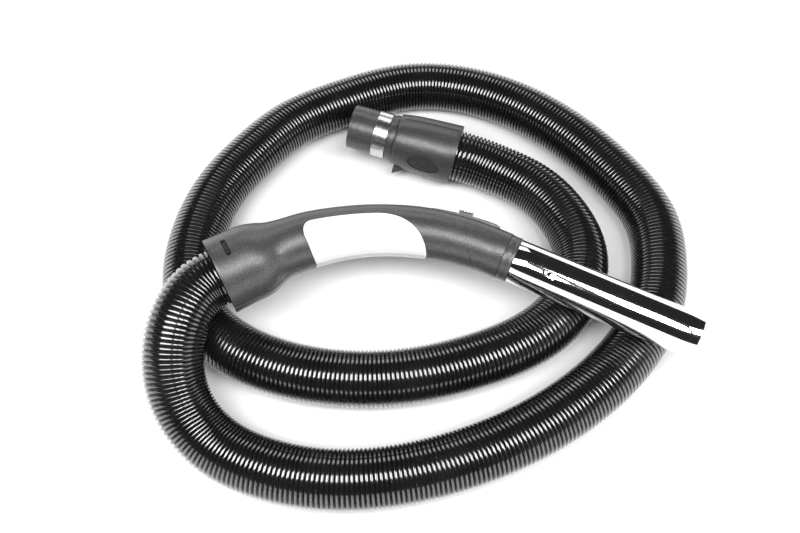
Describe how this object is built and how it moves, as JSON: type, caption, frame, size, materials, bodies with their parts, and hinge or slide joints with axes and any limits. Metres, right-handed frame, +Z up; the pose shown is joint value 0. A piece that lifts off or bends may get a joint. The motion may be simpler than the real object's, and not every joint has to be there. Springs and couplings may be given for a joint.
{
  "type": "vacuum cleaner hose set",
  "caption": "Ribbed suction hose with a swivelling machine connector, a bent swivel handle with an air slider and a chrome tube.",
  "frame": {"origin": "top of the chrome tube's open end rim, at mid wall", "axes": "+X out of the open end of the chrome tube, +Z up; the set lies on a flat surface 79.2 mm below the origin, and the tube is tipped by one degree because it rests on the hose"},
  "size_m": [0.4345, 0.4479, 0.0986],
  "materials": {
    "hose_ribs": "glossy black, finely ribbed",
    "collar_plastic": "satin black",
    "handle_plastic": "satin warm dark grey with a fine fleck",
    "panel_white": "glossy white",
    "panel_grey": "satin light grey",
    "tube_chrome": "polished",
    "spring_steel": "bright drawn steel",
    "connector_plastic": "satin dark grey, lightly scuffed",
    "button_plastic": "matt dark grey",
    "seal_rubber": "matt black"
  },
  "bodies": {
    "hose": {"hose": "hose_ribs", "hose_collar_handle": "collar_plastic", "hose_collar_machine": "collar_plastic"},
    "handle": {"handle_shell_upper": "handle_plastic", "handle_shell_lower": "handle_plastic", "grip_panel_upper": "panel_white", "grip_panel_lower": "panel_grey", "swivel_ring": "collar_plastic", "socket_seal": "seal_rubber", "tube_spigot": "handle_plastic", "chrome_tube": "tube_chrome", "tube_lock_pin": "spring_steel", "slider_rail": "handle_plastic"},
    "air_slider": {"slider_knob": "handle_plastic", "slider_shutter": "seal_rubber"},
    "machine_connector": {"cuff_shell_near": "connector_plastic", "cuff_shell_far": "connector_plastic", "machine_spigot": "connector_plastic", "contact_band": "spring_steel", "duct_seal": "seal_rubber", "button_spring_near": "spring_steel", "button_spring_far": "spring_steel"},
    "release_button_near": {"release_button_near": "button_plastic"},
    "release_button_far": {"release_button_far": "button_plastic"}
  },
  "joints": [
    {"name": "handle_swivel", "type": "hinge", "parent": "hose", "child": "handle", "pos_m": [-0.34415, -0.11396, -0.011], "axis": [-0.5735, -0.8192, 0.01], "range_deg": [0, 150]},
    {"name": "air_slider_slide", "type": "hinge", "parent": "handle", "child": "air_slider", "pos_m": [-0.16027, -0.2, -0.01421], "axis": [0.0175, 0, 0.9998], "range_deg": [-1.5, 1.5]},
    {"name": "connector_swivel", "type": "hinge", "parent": "hose", "child": "machine_connector", "pos_m": [-0.24518, 0.09821, -0.05092], "axis": [-0.9813, -0.1723, 0.0854], "continuous": true},
    {"name": "button_near_press", "type": "slide", "parent": "machine_connector", "child": "release_button_near", "axis": [-0.1888, 0.9475, -0.2579], "range_m": [0, 0.002], "stiffness_N_per_m": 400, "springref_m": -0.001, "deforming": ["button_spring_near"]},
    {"name": "button_far_press", "type": "slide", "parent": "machine_connector", "child": "release_button_far", "axis": [0.1888, -0.9475, 0.2579], "range_m": [0, 0.002], "stiffness_N_per_m": 400, "springref_m": -0.001, "deforming": ["button_spring_far"]}
  ]
}
